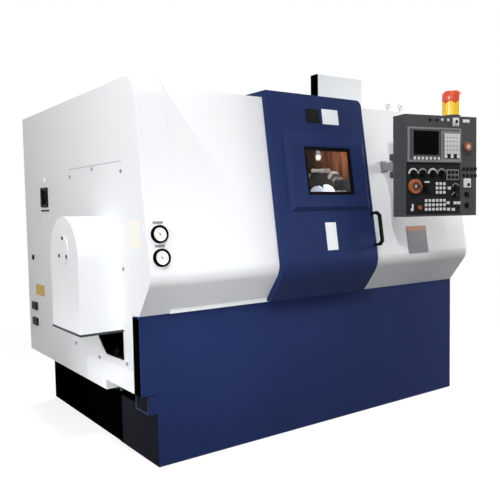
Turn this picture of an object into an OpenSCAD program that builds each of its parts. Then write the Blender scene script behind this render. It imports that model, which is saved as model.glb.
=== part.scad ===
// CNC turning lathe with a slant bed, sliding front door and swivelling operator panel.
// Lengths in millimetres. Points are laid out from the base's front left corner on the floor,
// x to the right, y to the back, z up, and every node is then moved to the middle of the machine.

/* [Base] */

// Length of the base from left to right
base_length = 1936; // [1920:1:1960]
// Depth of the base from front to back
base_depth = 1310; // [1290:1:1340]
// Height of the top of the blue front panel
base_top = 650; // [640:1:660]
// Gap between the floor and the underside of the base
foot_height = 30; // [24:1:36]
// Thickness of the cover sheets
sheet = 3; // [2:0.5:4]

/* [Covers] */

// How far the white left cover overhangs the base
side_overhang = 76; // [66:1:86]
// Angle the front covers lean back
front_lean = 8.4; // [7.6:0.1:9]
// Angle of the face under the nose
undercut = 37; // [35:0.5:39]
// Radius of the nose of the front covers
nose_radius = 90; // [80:1:100]
// How far the nose stands in front of the base
nose_out = 112; // [108:1:116]
// Height of the middle of the nose
nose_height = 829; // [822:1:836]
// Height of the roof between the covers
roof_height = 1590; // [1580:1:1600]
// Height of the left cover and the rear cabinet
left_height = 1630; // [1622:1:1645]
// Radius of the left cover's top front corner
left_corner = 90; // [60:1:110]
// Height of the drip edge under the left front cover
drip_height = 18; // [12:1:22]
// Where the left cover ends and the front cover begins
left_seam = 61; // [52:1:64]
// Back of the front covers' roof strip
roof_split = 262; // [255:1:266]
// Front of the rear cabinet
cabinet_front = 1069; // [1062:1:1076]
// Back of the rear cabinet
cabinet_back = 1497; // [1480:1:1510]
// Lower edge of the left cover
skirt_height = 271; // [255:1:290]
// How far the spindle guard stands out from the left cover
guard_out = 192; // [180:1:210]
// Width of the spindle guard
guard_width = 338; // [328:1:350]
// How far the middle of the guard's round top lies below the spindle axis
guard_drop = 25; // [15:1:40]
// Lower edge of the spindle guard
guard_foot = 573; // [560:1:590]
// Radius of the cap over the guard's bar hole
cap_radius = 62; // [56:1:68]
// Thickness of that cap
cap_thickness = 3; // [2:0.5:4]

/* [Door] */

// Left edge of the door
door_left = 563; // [560:1:566]
// Width of the door
door_width = 603; // [598:1:608]
// Distance from the covers' face to the door's face
door_proud = 36; // [34:1:38]
// Running gap behind the door
door_gap = 5; // [4:0.5:6]
// Radius of the door's top right corner
door_corner = 30; // [20:1:46]
// Width of the raised panel round the window
raised_width = 507; // [496:1:512]
// Height of the raised panel round the window
raised_height = 380; // [370:1:400]
// How far the raised panel stands out
raised_out = 14; // [10:1:18]
// Width of the raised panel's sloping flanks
raised_flank = 20; // [14:1:24]
// Width of the window
window_width = 300; // [280:1:320]
// Height of the window
window_height = 230; // [215:1:245]
// Width of the black window seal
seal_width = 16; // [10:1:20]
// Length of the door handle
handle_length = 172; // [150:1:185]
// How far the door handle stands out
handle_out = 60; // [50:1:68]

/* [Spindle] */

// Distance of the spindle axis behind the base's front
spindle_y = 320; // [316:1:324]
// Height of the spindle axis
spindle_z = 920; // [914:1:926]
// Radius of the spindle
spindle_radius = 50; // [46:1:54]
// Radius of the bore for bar stock
bore_radius = 26; // [22:1:27]
// Radius of the chuck
chuck_radius = 105; // [98:1:112]
// Left face of the chuck
chuck_x = 415; // [413:1:418]
// Length of the chuck body
chuck_length = 90; // [80:1:96]
// Width of the slots for the chuck jaws
jaw_slot = 24; // [20:1:28]
// Running gap between parts that move on each other
gap = 0.3; // [0.2:0.05:0.4]

/* [Carriage] */

// Slant of the bed
bed_slant = 45; // [44:0.5:46]
// Distance of the bed's face below the spindle axis
bed_drop = 260; // [256:1:264]
// Distance of the saddle's left end from the base's right end, at home
saddle_home = 441; // [436:1:446]
// Length of the saddle
saddle_length = 265; // [262:1:275]
// Place of the turret's axis up the slope at home
turret_u = 330; // [322:1:334]
// Radius of the turret disk over its corners
turret_radius = 150; // [144:1:156]
// Reach of the tools from the turret's axis
tool_reach = 190; // [182:1:196]
// Radius of the feed screw
screw_radius = 16; // [14:1:18]

/* [Operator panel] */

// Hinge pin of the panel from the left
pin_x = 1318; // [1310:1:1326]
// Distance of the hinge pin in front of the base's front
pin_out = 113; // [111:1:118]
// Angle the panel is swung out at rest
panel_swing = 13; // [10:1:16]
// Width of the panel
panel_width = 452; // [446:1:462]
// Depth of the panel
panel_depth = 97; // [90:1:106]
// Lower edge of the panel
panel_z = 1028; // [1022:1:1032]
// Height of the panel
panel_height = 510; // [506:1:520]
// Radius of the beacon
beacon_radius = 48; // [42:1:48]
// Height of each beacon lens
lens_height = 58; // [50:1:66]

/* [Hidden] */

$fn = 48;
frame_top = base_top - 10;
cover_front = 70;
plinth_foot = 4;
overhang_foot = 316;
side_x = -side_overhang;
nose_y = nose_radius - nose_out;
door_right = door_left + door_width;
hood_top = roof_height + 28;
hood_back = roof_split + 48;
rail_y = roof_split + 13;
window_x = 892;
window_z = 1248;
chuck_face = chuck_x + chuck_length;
guard_middle = spindle_z - guard_drop;
guard_face = side_x - guard_out;
cap_screw = 3;
cap_out = cap_thickness + cap_screw;
bed_right = base_length - 102;
saddle_x = base_length - saddle_home;
cooler_left = base_length - 586;
hinge_z = 1288;
beacon_x = 323;
beacon_collar = 10;
motor_y = 300;
motor_z = 380;
screw_u = 160;
screw_n = -bed_drop + 25;
rail_top = -bed_drop + 40;
saddle_top = -160;
disk_right = saddle_x - 5 - gap;
disk_left = disk_right - 90;
panel_face = -15 - panel_depth;
panel_top = panel_z + panel_height;

// The stop button reaches furthest forward, and the cabinet door's hinges furthest back
stop_x = 373;
stop_radius = 24;
stop_out = 22;
front_reach = pin_out + sin(panel_swing) * (stop_x + stop_radius)
    + cos(panel_swing) * (stop_out - panel_face);
middle_x = (guard_face - cap_out + base_length) / 2;
middle_y = (cabinet_back + 6 - front_reach) / 2;

// Places of the leaning and the undercut face at a height, d in front of the covers' face
function lean_y(z, d) = nose_y
    - (nose_radius + d - sin(front_lean) * (z - nose_height)) / cos(front_lean);
function under_y(z, d) = nose_y
    - (nose_radius + d + sin(undercut) * (z - nose_height)) / cos(undercut);
function bed_y(u, n) = spindle_y + u * cos(bed_slant) - n * sin(bed_slant);
function bed_z(u, n) = spindle_z + u * sin(bed_slant) + n * cos(bed_slant);

// Moves a node from the base's corner to the middle of the machine
module in_frame() {
    translate([-middle_x, -middle_y, 0]) children();
}

// Turns a drawing of the (y, z) plane into a body from x0 to x1
module along_x(x0, x1) {
    translate([x0, 0, 0]) rotate([90, 0, 90]) linear_extrude(height = x1 - x0) children();
}

// A box between two corners
module box(a, b) {
    translate(a) cube([b[0] - a[0], b[1] - a[1], b[2] - a[2]]);
}

// A cylinder along x through a point of the (y, z) plane
module rod_x(x0, x1, y, z, r) {
    translate([x0, y, z]) rotate([0, 90, 0]) cylinder(r = r, h = x1 - x0);
}

// Points along an arc, in steps small enough to read as round
function arc(middle, radius, from, to) = let (steps = ceil(abs(to - from) / 5))
    [for (i = [0 : steps]) middle + radius
        * [cos(from + (to - from) * i / steps), sin(from + (to - from) * i / steps)]];

// The round of the nose moved out by d, from the undercut up to the leaning face
function nose_arc(d) = arc([nose_y, nose_height], nose_radius + d, 180 + undercut, 180 - front_lean);

// Everything behind the front face moved out by d, between two heights
module front_region(d, z0, z1, back) {
    polygon(concat([[back, z0], [under_y(z0, d), z0]], nose_arc(d), [[lean_y(z1, d), z1], [back, z1]]));
}

// Frame on the leaning front: x to the right, y up the face, z out of it
module on_front(x, z, d) {
    translate([x, lean_y(z, d), z]) rotate([90 - front_lean, 0, 0]) children();
}

// Frame of the slant bed: x along the spindle, y up the slope, z out of the bed
module on_bed() {
    translate([0, spindle_y, spindle_z]) rotate([bed_slant, 0, 0]) children();
}

// Frame of the operator panel: origin on the hinge pin, x along the panel, -y out of its face
module on_panel() {
    translate([pin_x, -pin_out, 0]) rotate([0, 0, -panel_swing]) children();
}

// A cylinder standing on the panel's face, from depth y0 behind it to y1 in front of it
module stud(x, z, r, y0, y1) {
    translate([x, panel_face + y0, z]) rotate([90, 0, 0]) cylinder(r = r, h = y0 + y1);
}

// Outline of the left cover, drawn in by t
module left_outline(t) {
    zc = left_height - left_corner;
    yc = lean_y(zc, 0) + left_corner / cos(front_lean);
    step = skirt_height + 45 + t;
    polygon(concat([[cabinet_front - t, skirt_height + t], [360 + t, skirt_height + t],
        [360 + t, step], [cover_front + t, step], [cover_front + t, base_top + t],
        [under_y(base_top + t, -t), base_top + t]],
        nose_arc(-t), arc([yc, zc], left_corner - t, 180 - front_lean, 90),
        [[cabinet_front - t, left_height - t]]));
}

// Cross-section of the bed casting
module bed_outline() {
    u0 = (frame_top - bed_z(0, -bed_drop)) / sin(bed_slant);
    polygon([[bed_y(u0, -bed_drop), frame_top], [bed_y(450, -bed_drop), bed_z(450, -bed_drop)],
        [1000, bed_z(450, -bed_drop)], [1000, frame_top]]);
}

// The hollow inside the bed casting, open below
module bed_core() {
    u0 = (frame_top - bed_z(0, -bed_drop)) / sin(bed_slant);
    y0 = bed_y(u0, -bed_drop) + 64;
    polygon([[y0, frame_top - 1], [y0 + 355 / tan(bed_slant), frame_top + 354], [950, frame_top + 354],
        [950, frame_top - 1]]);
}

module base_frame() {
    color("#191a1c") {
        difference() {
            box([0, sheet, foot_height], [base_length, base_depth, frame_top]);
            box([440, 20, foot_height + 20], [base_length - 56, 700, 300]);
            box([430, 20, 312], [base_length - 46, 400, frame_top + 1]);
            box([-1, 150, 240], [424, 480, frame_top + 1]);
            box([60, 740, foot_height - 1], [base_length - 60, base_depth - 90, frame_top - 40]);
            box([440, 415, foot_height + 30], [base_length - 56, 700, frame_top - 40]);
            box([20, 500, foot_height - 1], [420, 720, frame_top - 40]);
            box([20, 180, foot_height - 1], [420, 480, 220]);
        }
        difference() {
            box([0, sheet, plinth_foot], [base_length, base_depth, foot_height + 1]);
            box([sheet, 2 * sheet, plinth_foot - 1],
                [base_length - sheet, base_depth - sheet, foot_height + 2]);
        }
        box([-sheet, sheet, plinth_foot], [1, 388, 240]);
        box([-40, sheet, 232], [1, 130, overhang_foot - 1]);
        box([side_x + sheet, sheet, overhang_foot - 2], [1, cover_front, frame_top]);
    }
}

module front_base_panel() {
    color("#233058") {
        translate([0, sheet, 0]) rotate([90, 0, 0]) linear_extrude(height = sheet)
            polygon([[-sheet, plinth_foot], [base_length, plinth_foot], [base_length, base_top],
                [side_x, base_top], [side_x, overhang_foot], [-sheet, overhang_foot]]);
        box([side_x, 0, frame_top], [base_length, 25, base_top]);
    }
}

module leveling_feet() {
    color("#3a3c40") for (x = [120, base_length / 2, base_length - 120], y = [120, base_depth - 60])
        translate([x, y, 0]) {
            cylinder(r = 45, h = 14);
            cylinder(r = 14, h = foot_height);
        }
}

module coolant_tank() {
    color("#2a2c30") difference() {
        box([446, 25, foot_height + 20], [base_length - 62, 695, 290]);
        box([450, 29, foot_height + 24], [base_length - 66, 691, 291]);
    }
}

module left_cover() {
    color("#f2f3f4") {
        difference() {
            along_x(side_x, left_seam) left_outline(0);
            along_x(side_x + sheet, left_seam + 1) left_outline(sheet);
            box([0, -200, 0], [200, cabinet_front + 1, base_top]);
            along_x(side_x - 1, side_x + sheet + 1)
                polygon([[spindle_y - 162, 440], [spindle_y + 36, 437], [spindle_y + 140, 520],
                    [spindle_y + 155, 575], [spindle_y + 155, guard_middle],
                    [spindle_y - 155, guard_middle],
                    [spindle_y - 162, 575]]);
            rod_x(side_x - 1, side_x + sheet + 1, spindle_y, guard_middle, 155);
        }
        difference() {
            along_x(left_seam - sheet, left_seam) left_outline(0);
            box([left_seam - 10, -300, 0], [left_seam + 10, 1500, roof_height - 40]);
        }
    }
}

module spindle_guard() {
    w = guard_width / 2;
    color("#f2f3f4") difference() {
        union() {
            box([guard_face, spindle_y - w, guard_foot], [side_x, spindle_y + w, guard_middle]);
            rod_x(guard_face, side_x, spindle_y, guard_middle, w);
        }
        box([guard_face + sheet, spindle_y - w + sheet, guard_foot - 1],
            [side_x + 1, spindle_y + w - sheet, guard_middle]);
        rod_x(guard_face + sheet, side_x + 1, spindle_y, guard_middle, w - sheet);
        rod_x(guard_face - 1, guard_face + sheet + 1, spindle_y, spindle_z, cap_radius - 22);
    }
}

// Closes the bar hole, held by three screws
module guard_cap() {
    color("#eceeef") {
        rod_x(guard_face - cap_thickness, guard_face, spindle_y, spindle_z, cap_radius);
        translate([0, spindle_y, spindle_z]) for (a = [0, 120, 240]) rotate([a, 0, 0])
            rod_x(guard_face - cap_out, guard_face - 1, 0, cap_radius - 11, 7);
    }
}

// A front sheet with its strip of roof and a return along the door opening
module front_sheet(x0, x1, return_x) {
    difference() {
        along_x(x0, x1) front_region(0, base_top, roof_height, roof_split);
        along_x(x0 - 1, x1 + 1) front_region(-sheet, base_top - 5, roof_height - sheet, roof_split + 1);
    }
    difference() {
        along_x(return_x, return_x + sheet) front_region(-1, base_top, roof_height - 1, roof_split);
        along_x(return_x - 1, return_x + sheet + 1)
            front_region(-40, base_top - 60, roof_height - 40, roof_split + 1);
    }
}

module front_cover_left() {
    color("#f2f3f4") {
        front_sheet(left_seam, door_left + 15, door_left + 15 - sheet);
        along_x(left_seam, door_left + 15) drip_outline();
    }
}

// The drip edge along the foot of the left front cover
module drip_outline() {
    high = base_top + drip_height;
    face = under_y(high, 0);
    polygon([[under_y(base_top, -1.5), base_top], [face, base_top], [face, high + 1.5],
        [under_y(high + 1.5, -1.5), high + 1.5]]);
}

module front_cover_right() {
    color("#f2f3f4") {
        front_sheet(door_right - 16, base_length, door_right - 16);
        along_x(base_length - sheet, base_length)
            front_region(0, base_top, roof_height, cabinet_front);
        box([base_length - sheet, 25, frame_top], [base_length, cabinet_front, base_top + 1]);
    }
}

module roof_cover() {
    color("#f2f3f4") {
        box([left_seam, roof_split, roof_height - sheet],
            [base_length - sheet, cabinet_front, roof_height]);
        box([left_seam, cabinet_front - sheet, roof_height - 40],
            [base_length - sheet, cabinet_front, roof_height]);
    }
}

module rear_cabinet() {
    color("#eceeef") difference() {
        box([side_x, cabinet_front, skirt_height], [base_length, cabinet_back, left_height]);
        box([0, cabinet_front - 1, skirt_height - 1], [base_length + 1, base_depth, frame_top]);
        box([side_x + sheet, cabinet_front + sheet, frame_top + sheet],
            [base_length - sheet, cabinet_back - sheet, left_height - sheet]);
        box([side_x + sheet, base_depth + sheet, skirt_height + sheet],
            [base_length - sheet, cabinet_back - sheet, frame_top + sheet + 1]);
        box([side_x + sheet, cabinet_front + sheet, skirt_height + sheet],
            [-sheet, cabinet_back - sheet, frame_top + sheet + 1]);
        box([80, cabinet_back - sheet - 1, 700], [880, cabinet_back + 1, 1560]);
        for (z = [780, 1420])
            translate([81, cabinet_back, z - 1]) cylinder(r = 6 + gap, h = 82);
    }
}

module cabinet_door() {
    color("#eceeef") {
        difference() {
            box([81, cabinet_back - 18, 701], [879, cabinet_back, 1559]);
            box([84, cabinet_back - 19, 704], [876, cabinet_back - sheet, 1556]);
        }
        for (z = [780, 1420])
            translate([81, cabinet_back, z]) cylinder(r = 6, h = 80);
        translate([850, cabinet_back, 1130]) rotate([-90, 0, 0]) cylinder(r = 16, h = 5);
    }
}

module roof_cooler() {
    color("#f2f3f4") box([cooler_left + 8, 500, roof_height], [cooler_left + 370, 556, roof_height + 279]);
}

module cooler_grille() {
    color("#17181a") difference() {
        box([cooler_left, 500, roof_height], [cooler_left + 8, 556, roof_height + 279]);
        for (i = [0 : 8])
            box([cooler_left - 1, 508, roof_height + 22 + i * 28],
                [cooler_left + 4, 548, roof_height + 36 + i * 28]);
    }
}

module cabinet_fittings() {
    color("#141516") {
        box([side_x - 8, 1083, 1112], [side_x, 1190, 1218]);
        box([side_x - 3, 1072, 1089], [side_x, 1200, 1097]);
        box([side_x - 10, 1338, 520], [side_x, 1422, 563]);
        box([side_x - 10, 1336, 430], [side_x, 1420, 472]);
        rod_x(side_x - 6, side_x, 1384, 825, 15);
    }
}

module main_switch() {
    color("#141516") {
        rod_x(side_x - 13, side_x - 8 - gap, 1136, 1165, 34);
        box([side_x - 22, 1126, 1125], [side_x - 11, 1146, 1205]);
    }
}

module gauge_cases() {
    color("#26282b") for (z = [987, 894]) on_front(-22, z, 0) difference() {
        cylinder(r = 36, h = 15);
        translate([0, 0, 10]) cylinder(r = 28.5, h = 6);
    }
}

module door_rail() {
    color("#8d9196") box([75, rail_y, roof_height], [door_right - 16, rail_y + 15, roof_height + 12]);
}

module slant_bed() {
    color("#7e848a") {
        difference() {
            along_x(130, bed_right) bed_outline();
            along_x(175, bed_right - 44) bed_core();
        }
        on_bed() for (x = [410, bed_right - 30]) difference() {
            box([x, screw_u - 30, -bed_drop - 4], [x + 30, screw_u + 30, screw_n + 30]);
            translate([x - 1, screw_u, screw_n]) rotate([0, 90, 0])
                cylinder(r = screw_radius + gap, h = 32);
        }
    }
}

module headstock() {
    color("#6f757b") difference() {
        on_bed() box([130, -130, -bed_drop], [400, 150, 150]);
        rod_x(129, 401, spindle_y, spindle_z, 75);
    }
}

module headstock_wall() {
    color("#c9ccd0") along_x(403, 403 + sheet) difference() {
        front_region(-sheet, base_top, roof_height - sheet, 1000);
        bed_outline();
        translate([spindle_y, spindle_z]) circle(r = 85);
    }
}

module spindle_bearings() {
    color("#b9bec4") for (x = [150, 340]) difference() {
        rod_x(x, x + 40, spindle_y, spindle_z, 75);
        rod_x(x - 1, x + 41, spindle_y, spindle_z, spindle_radius + gap);
    }
}

module z_rails() {
    color("#b9bec4") on_bed() for (u = [20, 300])
        box([445, u - 22.5, -bed_drop], [bed_right - 34, u + 22.5, rail_top]);
}

module z_motor() {
    color("#202226") on_bed() {
        difference() {
            box([bed_right, screw_u - 50, screw_n - 50], [bed_right + 92, screw_u + 50, screw_n + 50]);
            translate([bed_right - 1, screw_u, screw_n]) rotate([0, 90, 0])
                cylinder(r = screw_radius + gap, h = 12);
        }
    }
}

module spindle_motor() {
    color("#3b4046") {
        difference() {
            rod_x(120, 420, motor_y, motor_z, 110);
            rod_x(119, 140, motor_y, motor_z, 20 + gap);
        }
        box([150, motor_y - 90, 240], [390, motor_y + 90, 310]);
    }
}

module motor_pulley() {
    color("#9aa0a6") {
        rod_x(45, 110, motor_y, motor_z, 60);
        rod_x(45, 135, motor_y, motor_z, 20);
    }
}

// The belt's outline, drawn out by t from both pulleys
module belt_outline(t) {
    hull() {
        translate([spindle_y, spindle_z]) circle(r = 90 + t);
        translate([motor_y, motor_z]) circle(r = 60 + t);
    }
}

module drive_belt() {
    color("#1b1b1c") along_x(50, 105) difference() {
        belt_outline(7);
        belt_outline(0.5);
    }
}

module work_light() {
    color("#e8e6da") box([700, 300, roof_height - sheet - 28], [1100, 345, roof_height - sheet]);
}

module spindle() {
    color("#a7adb4") difference() {
        union() {
            rod_x(40, 401, spindle_y, spindle_z, spindle_radius);
            rod_x(400 + gap, chuck_x, spindle_y, spindle_z, 70);
        }
        rod_x(39, chuck_x + 1, spindle_y, spindle_z, bore_radius);
    }
}

module spindle_pulley() {
    color("#9aa0a6") difference() {
        rod_x(45, 110, spindle_y, spindle_z, 90);
        rod_x(44, 111, spindle_y, spindle_z, spindle_radius);
    }
}

module rotary_cylinder() {
    color("#4a5057") difference() {
        union() {
            rod_x(-230, -130, spindle_y, spindle_z, 60);
            rod_x(-130, 40, spindle_y, spindle_z, 85);
        }
        rod_x(-231, 41, spindle_y, spindle_z, bore_radius);
    }
}

module chuck_body() {
    color("#8b9299") difference() {
        rod_x(chuck_x, chuck_face, spindle_y, spindle_z, chuck_radius);
        rod_x(chuck_x - 1, chuck_face + 1, spindle_y, spindle_z, bore_radius);
        for (a = [0, 120, 240]) translate([0, spindle_y, spindle_z]) rotate([a, 0, 0])
            box([chuck_face - 20, -jaw_slot / 2, 28], [chuck_face + 1, jaw_slot / 2, chuck_radius + 5]);
    }
}

module jaw(a) {
    color("#c3c8cd") translate([0, spindle_y, spindle_z]) rotate([a, 0, 0]) {
        box([chuck_face - 20 + gap, gap - jaw_slot / 2, 46], [chuck_face + 5, jaw_slot / 2 - gap, 90]);
        box([chuck_face + gap, -15, 36], [chuck_face + 22, 15, 88]);
        box([chuck_face + 10, -15, 54], [chuck_face + 44, 15, 88]);
    }
}

module jaw_1() {
    jaw(0);
}

module jaw_2() {
    jaw(120);
}

module jaw_3() {
    jaw(240);
}

module saddle() {
    x1 = saddle_x + saddle_length;
    color("#5b6168") on_bed() {
        difference() {
            union() {
                box([saddle_x, -30, rail_top + 6], [x1, 446, saddle_top]);
                for (u = [20, 300])
                    box([saddle_x, u - 45, rail_top - 28], [x1, u + 45, rail_top + 7]);
                box([saddle_x + 60, screw_u - 32, -bed_drop + 3], [x1 - 60, screw_u + 32, rail_top + 7]);
            }
            for (u = [20, 300])
                box([saddle_x - 1, u - 22.5 - gap, -bed_drop - 1],
                    [x1 + 1, u + 22.5 + gap, rail_top + gap]);
            translate([saddle_x - 1, screw_u, screw_n]) rotate([0, 90, 0])
                cylinder(r = screw_radius + gap, h = saddle_length + 2);
        }
        box([saddle_x, -30, saddle_top - 1], [saddle_x + 4.7, 446, saddle_top + 30]);
        box([saddle_x + 245 + gap, -30, saddle_top - 1], [x1, 446, saddle_top + 30]);
    }
}

module x_motor() {
    color("#202226") on_bed() box([saddle_x + 70, 446, -214], [saddle_x + 170, 600, -114]);
}

module z_screw() {
    color("#c3c8cd") on_bed() translate([412, screw_u, screw_n]) rotate([0, 90, 0])
        cylinder(r = screw_radius, h = bed_right - 402);
}

module cross_slide() {
    x0 = saddle_x + 5;
    x1 = saddle_x + 245;
    color("#6f757b") on_bed() {
        box([x0, 120, saddle_top + gap], [x1, 440, saddle_top + 50]);
        box([x0, turret_u - 95, saddle_top + 49], [x1, turret_u + 95, 0]);
        translate([saddle_x - 5, turret_u, 0]) rotate([0, 90, 0]) cylinder(r = 105, h = 250);
    }
}

module turret_disk() {
    color("#a7adb4") on_bed() translate([0, turret_u, 0]) {
        translate([disk_left, 0, 0]) rotate([0, 90, 0]) rotate([0, 0, 22.5])
            cylinder(r = turret_radius, h = 90, $fn = 8);
        translate([disk_left - 18, 0, 0]) rotate([0, 90, 0]) cylinder(r = 60, h = 20);
    }
}

module tool_holders() {
    flat = turret_radius * cos(22.5);
    color("#33373b") on_bed() translate([0, turret_u, 0]) for (i = [0 : 7]) rotate([i * 45, 0, 0]) {
        box([disk_left + 15, -28, flat], [disk_right - 15, 28, flat + 26]);
        if (i % 2 == 0) box([disk_left - 12, -12, flat + 6], [disk_left + 40, 12, tool_reach]);
        if (i % 2 == 1) translate([disk_left - 45, 0, flat + 13]) rotate([0, 90, 0])
            cylinder(r = 12, h = 80);
    }
}

module panel_bracket() {
    color("#3d4044") {
        on_front(pin_x, hinge_z, 0) translate([-20, -29, 0]) cube([40, 58, 10]);
        difference() {
            union() {
                box([pin_x - 14, -pin_out, hinge_z - 20], [pin_x + 14, 60, hinge_z + 20]);
                translate([pin_x, -pin_out, hinge_z - 20]) cylinder(r = 14, h = 40);
            }
            along_x(pin_x - 50, pin_x + 50) front_region(0, base_top, 1500, 200);
        }
        translate([pin_x, -pin_out, hinge_z - 62]) cylinder(r = 9, h = 124);
    }
}

// A knob's pocket in the panel's face
module pocket(x, z, r) {
    stud(x, z, r + gap, 24, 1);
}

module panel_box() {
    color("#55575b") on_panel() {
        difference() {
            union() {
                box([-10, panel_face, panel_z], [panel_width - 10, -15, panel_top]);
                box([9, panel_face - 4, panel_z + 285], [210, panel_face + 1, panel_z + 450]);
                translate([beacon_x, panel_face + 52, panel_top - 1])
                    cylinder(r = 44, h = beacon_collar + 1);
                for (z = [hinge_z - 60, hinge_z + 30]) {
                    translate([0, 0, z]) cylinder(r = 18, h = 30);
                    box([-18, -30, z], [18, 0, z + 30]);
                }
            }
            for (z = [hinge_z - 61, hinge_z + 29]) translate([0, 0, z]) cylinder(r = 9 + gap, h = 32);
            box([40, panel_face - 5, panel_z + 310], [197, panel_face + 4, panel_z + 430]);
            for (i = [0 : 3])
                translate([-11, -46, panel_z + 30 + i * 54]) rotate([0, 90, 0]) cylinder(r = 9, h = 7);
            pocket(stop_x, panel_z + 355, 12);
            pocket(46, panel_z + 152, 8);
            for (x = [40, 98, 160, 216]) pocket(x, panel_z + 215, 6);
            pocket(78, panel_z + 45, 11);
            pocket(379, panel_z + 110, 11);
        }
    }
}

module panel_screen() {
    color("#0c0d0f") on_panel()
        box([40, panel_face - 2, panel_z + 310], [197, panel_face + 4, panel_z + 430]);
}

// A thin plate on the panel's face with rows of keys on it
module key_field(x, z, columns, rows, pitch_x, pitch_z, inset) {
    box([x, panel_face - 1.5, z], [x + columns * pitch_x, panel_face, z + rows * pitch_z]);
    for (i = [0 : columns - 1], j = [0 : rows - 1])
        box([x + i * pitch_x + inset, panel_face - 5, z + j * pitch_z + inset],
            [x + i * pitch_x + pitch_x - inset, panel_face - 1, z + j * pitch_z + pitch_z - inset]);
}

module panel_keys() {
    color("#d9dadb") on_panel() {
        key_field(229, panel_z + 295, 5, 6, 20, 21, 2);
        key_field(172, panel_z + 110, 3, 3, 23, 22, 4);
        key_field(104, panel_z + 25, 6, 3, 23, 22, 4);
    }
}

module beacon_amber() {
    color("#ecc820") on_panel() translate([beacon_x, panel_face + 52, panel_top + beacon_collar])
        cylinder(r = beacon_radius, h = lens_height);
}

module beacon_red() {
    color("#cc4a1a") on_panel()
        translate([beacon_x, panel_face + 52, panel_top + beacon_collar + lens_height]) {
            cylinder(r = beacon_radius, h = lens_height);
            cylinder(r = beacon_radius - 8, h = lens_height + 8);
        }
}

module e_stop() {
    color("#b8441c") on_panel() {
        stud(stop_x, panel_z + 355, 12, 14, 9);
        stud(stop_x, panel_z + 355, stop_radius, -8, stop_out);
    }
}

module handwheel() {
    color("#a2552c") on_panel() {
        stud(46, panel_z + 152, 8, 20, 3);
        stud(46, panel_z + 152, 36, -gap, 16);
        stud(68, panel_z + 152, 7, -15, 30);
    }
}

module knob(x) {
    color("#101113") on_panel() {
        stud(x, panel_z + 215, 6, 20, 3);
        stud(x, panel_z + 215, 17, -gap, 14);
        box([x - 4, panel_face - 20, panel_z + 200], [x + 4, panel_face - 10, panel_z + 230]);
    }
}

module knob_1() {
    knob(40);
}

module knob_2() {
    knob(98);
}

module knob_3() {
    knob(160);
}

module knob_4() {
    knob(216);
}

module start_button() {
    color("#c96a20") on_panel() stud(78, panel_z + 45, 11, 14, 9);
}

module hold_button() {
    color("#17181a") on_panel() stud(379, panel_z + 110, 11, 14, 9);
}

// The door's volume at an offset, with its rounded top right corner
module door_volume(d, x0, x1, z0, z1, back, r) {
    difference() {
        along_x(x0, x1) front_region(d, z0, z1, back);
        translate([x1 - r, -400, z1 - r]) difference() {
            cube([r + 1, 900, r + 1]);
            translate([0, -1, 0]) rotate([-90, 0, 0]) cylinder(r = r, h = 902);
        }
    }
}

// A block on the door's face in the window's place
module window_block(w, h, d0, d1) {
    on_front(window_x, window_z, 0) translate([-w / 2, -h / 2, d0]) cube([w, h, d1 - d0]);
}

// The raised panel round the window, with sloping flanks and a long slope at its top
module raised_panel() {
    w = raised_width / 2;
    h = raised_height / 2;
    sunk = sheet / 2;
    run = raised_flank / raised_out;
    low = door_proud - sunk;
    high = door_proud + raised_out;
    on_front(window_x, window_z, 0) intersection() {
        translate([0, raised_height, 0]) rotate([90, 0, 0]) linear_extrude(height = 2 * raised_height)
            polygon([[-w - run * sunk, low], [w + run * sunk, low], [w - raised_flank, high],
                [raised_flank - w, high]]);
        along_x(-raised_width, raised_width)
            polygon([[-h - run * sunk, low], [h + 3 * run * sunk, low], [h - 3 * raised_flank, high],
                [raised_flank - h, high]]);
    }
}

module door_shell() {
    color("#233058") difference() {
        union() {
            difference() {
                door_volume(door_proud, door_left, door_right, base_top + 5, hood_top, hood_back,
                    door_corner);
                door_volume(door_proud - sheet, door_left + sheet, door_right - sheet, base_top + 4,
                    hood_top - sheet, hood_back + 1, door_corner - sheet);
                along_x(door_left - 1, door_right + 1)
                    front_region(door_gap, base_top - 60, roof_height + 5, hood_back + 90);
            }
            raised_panel();
        }
        window_block(window_width, window_height, 0, door_proud + raised_out + 1);
        box([door_left - 1, rail_y - 6, roof_height - 1], [door_right + 1, rail_y + 21, roof_height + 17]);
        box([door_left - 1, under_y(base_top + drip_height, 4), base_top],
            [door_right + 1, 60, base_top + drip_height + 4]);
    }
}

module window_frame() {
    color("#0e0f10") difference() {
        window_block(window_width, window_height, door_proud + 2, door_proud + 10);
        window_block(window_width - 2 * seal_width, window_height - 2 * seal_width, 0, door_proud + 20);
    }
}

module window_glass() {
    color("#8fa3b0") window_block(window_width, window_height, door_proud - sheet, door_proud + 2);
}

module door_handle() {
    a = handle_length / 2;
    color("#101113") on_front(door_right - 14, 970, door_proud) along_x(-7, 7) difference() {
        polygon([[-a, 0], [-a, handle_out - 20], [20 - a, handle_out], [a - 20, handle_out],
            [a, handle_out - 20], [a, 0]]);
        polygon([[14 - a, -1], [14 - a, handle_out - 26], [26 - a, handle_out - 14],
            [a - 26, handle_out - 14], [a - 14, handle_out - 26], [a - 14, -1]]);
    }
}

module door_shoes() {
    color("#c3c8cd") for (x = [door_left + 27, door_right - 110]) difference() {
        box([x, rail_y - 7, roof_height + 2], [x + 60, rail_y + 22, hood_top - sheet]);
        box([x - 1, rail_y - gap, roof_height - 1], [x + 61, rail_y + 15 + gap, roof_height + 12 + gap]);
    }
}

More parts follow.
